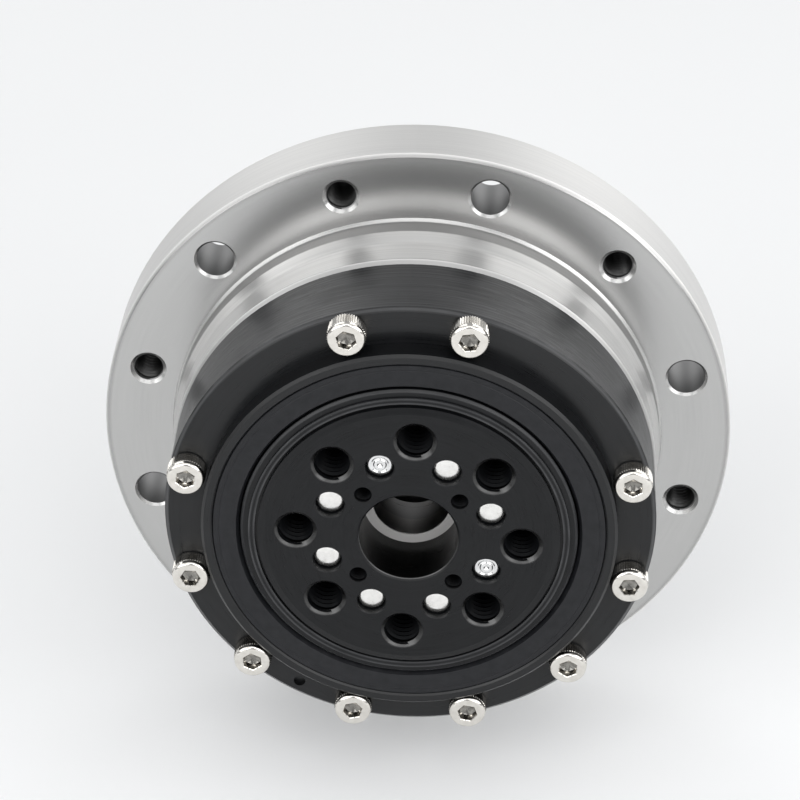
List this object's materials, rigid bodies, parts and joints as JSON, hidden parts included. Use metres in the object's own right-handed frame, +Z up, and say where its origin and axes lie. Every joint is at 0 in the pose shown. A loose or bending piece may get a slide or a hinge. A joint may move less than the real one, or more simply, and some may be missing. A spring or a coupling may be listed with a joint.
{
  "type": "strain wave gear",
  "caption": "Flanged strain wave gear: an oval wave generator bends a thin toothed cup that turns the output disc slowly in a crossed roller bearing.",
  "frame": {"origin": "on the gear's axis, in the front face of the mounting flange", "axes": "-Y along the axis towards the output face, +Y towards the input; +Z up and +X to the right for someone who looks at the output face. The part stands on the flange's rim."},
  "size_m": [0.093, 0.0443, 0.093],
  "materials": {
    "turned_steel": "fine turned",
    "blackened_steel": "satin black conversion coat",
    "nickel_plate": "satin nickel plate",
    "bare_steel": "bright machined",
    "seal_rubber": "matt",
    "o_ring_rubber": "satin",
    "ground_steel": "ground",
    "spacer_plastic": "moulded",
    "spline_steel": "fine machined",
    "screw_steel": "rolled and plated",
    "plug_steel": "machined and oiled",
    "cage_plastic": "moulded",
    "spring_steel": "phosphated",
    "black_screw_steel": "black oxide"
  },
  "bodies": {
    "housing": {"circular_spline_flange": "turned_steel", "bearing_ring_rear": "blackened_steel", "bearing_ring_front": "blackened_steel", "ring_screws": "nickel_plate", "seal_case": "bare_steel", "seal_rubber": "seal_rubber", "seal_spring": "bare_steel", "neck_o_ring": "o_ring_rubber", "flange_o_ring": "o_ring_rubber"},
    "roller_set": {"cross_rollers": "ground_steel", "roller_spacers": "spacer_plastic"},
    "output": {"output_hub": "blackened_steel", "flexspline": "spline_steel", "flexspline_clamp_ring": "bare_steel", "flexspline_screws": "screw_steel", "dowel_pins": "ground_steel"},
    "wave_generator": {"wave_plug": "plug_steel", "wave_inner_race": "ground_steel", "wave_balls": "ground_steel", "wave_ball_cage": "cage_plastic", "wave_outer_race": "ground_steel", "thrust_washer": "bare_steel", "oldham_ring": "plug_steel", "retaining_ring": "spring_steel", "input_hub": "plug_steel", "hub_set_screws": "black_screw_steel"}
  },
  "joints": [
    {"name": "input_spin", "type": "hinge", "parent": "housing", "child": "wave_generator", "pos_m": [0, 0, 0], "axis": [0, 1, 0], "continuous": true},
    {"name": "output_spin", "type": "hinge", "parent": "housing", "child": "output", "pos_m": [0, 0, 0], "axis": [0, 1, 0], "continuous": true},
    {"name": "roller_orbit", "type": "hinge", "parent": "housing", "child": "roller_set", "pos_m": [0, 0, 0], "axis": [0, 1, 0], "continuous": true}
  ],
  "couplings": [
    {"joint": "output_spin", "follows": "input_spin", "ratio": -0.033333},
    {"joint": "roller_orbit", "follows": "input_spin", "ratio": -0.016037}
  ]
}
